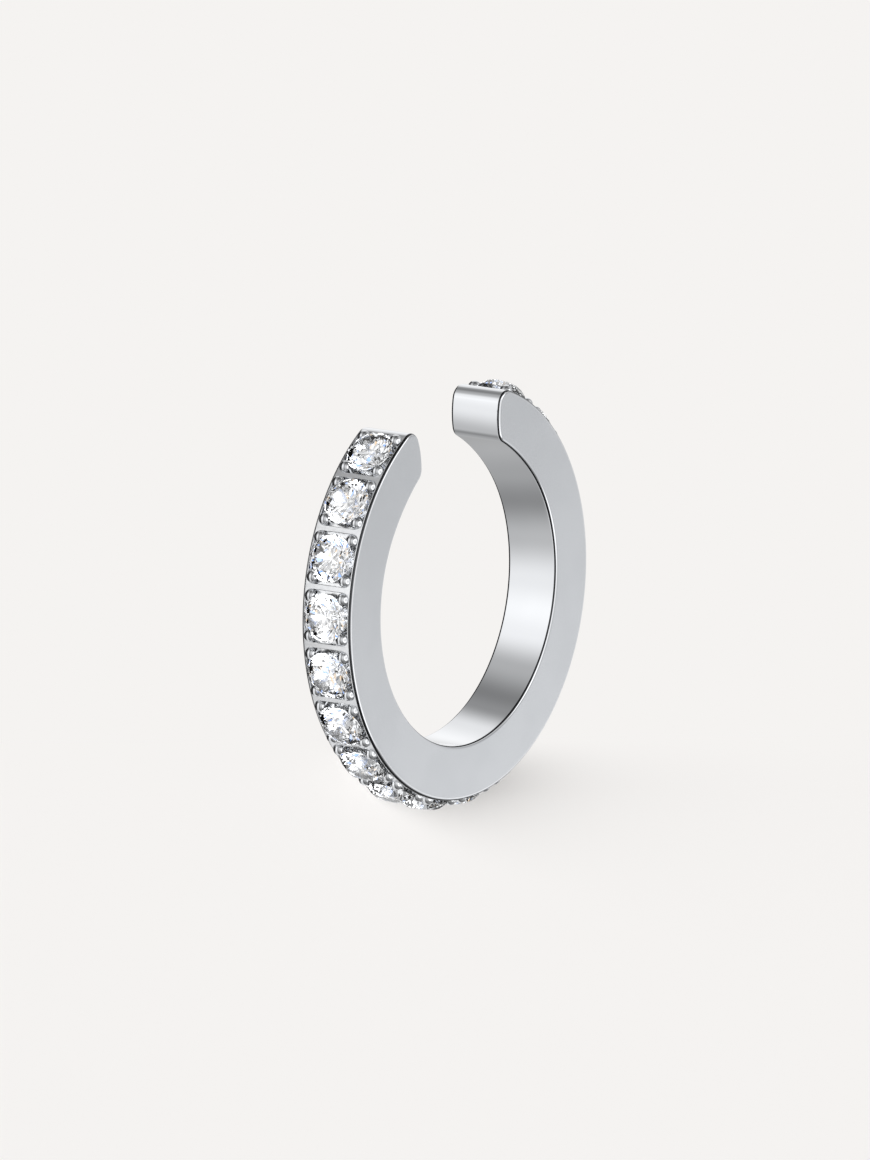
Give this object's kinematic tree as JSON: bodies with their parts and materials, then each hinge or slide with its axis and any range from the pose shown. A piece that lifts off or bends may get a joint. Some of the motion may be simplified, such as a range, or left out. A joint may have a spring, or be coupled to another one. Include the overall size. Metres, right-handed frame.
{
  "type": "ear cuff",
  "caption": "Open C-shaped ear cuff in polished steel with rounded ends and a single row of bead-set round stones round its outer face.",
  "frame": {"origin": "middle of the cuff's footprint, on the surface that it lies on, with the band on its lower flank", "axes": "+Z along the ring's axis, +Y towards the mouth between the two ends, +X across the mouth"},
  "size_m": [0.0136, 0.0128, 0.0019],
  "materials": {
    "steel": "finely polished, with satin flanks and mirror-bright bore, ends, rails and beads",
    "stone": "clear, facet-cut and polished"
  },
  "bodies": {
    "root": {"cuff_band": "steel", "stone_01": "stone", "stone_02": "stone", "stone_03": "stone", "stone_04": "stone", "stone_05": "stone", "stone_06": "stone", "stone_07": "stone", "stone_08": "stone", "stone_09": "stone", "stone_10": "stone", "stone_11": "stone", "stone_12": "stone", "stone_13": "stone", "stone_14": "stone", "stone_15": "stone", "stone_16": "stone", "stone_17": "stone", "stone_18": "stone", "stone_19": "stone"}
  },
  "joints": []
}
